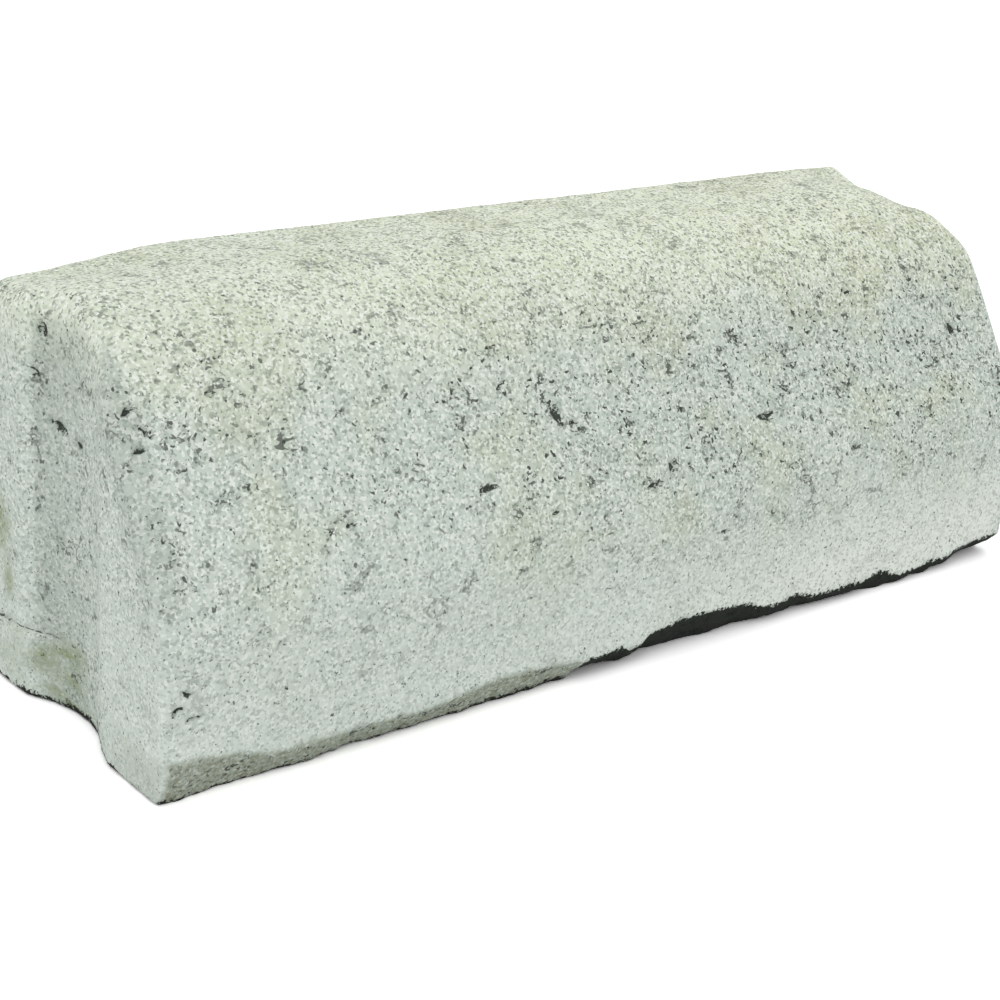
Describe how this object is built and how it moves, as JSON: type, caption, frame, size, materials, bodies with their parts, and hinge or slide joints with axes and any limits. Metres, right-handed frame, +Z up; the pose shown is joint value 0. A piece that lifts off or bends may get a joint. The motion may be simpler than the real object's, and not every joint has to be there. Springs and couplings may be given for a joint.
{
  "type": "concrete kerb stone",
  "caption": "Precast concrete kerb stone with an upright foot, a sloped road face, a broad round shoulder, a flat top and an upright joint groove in each end.",
  "frame": {"origin": "middle of the bed, the flat underside that the stone is laid on", "axes": "+X along the kerb, +Y from the road face to the back, +Z up"},
  "size_m": [0.7, 0.21, 0.25],
  "materials": {
    "concrete": "matt weathered cast concrete, speckled with fine aggregate and pitted"
  },
  "bodies": {
    "root": {"kerb_stone": "concrete"}
  },
  "joints": []
}
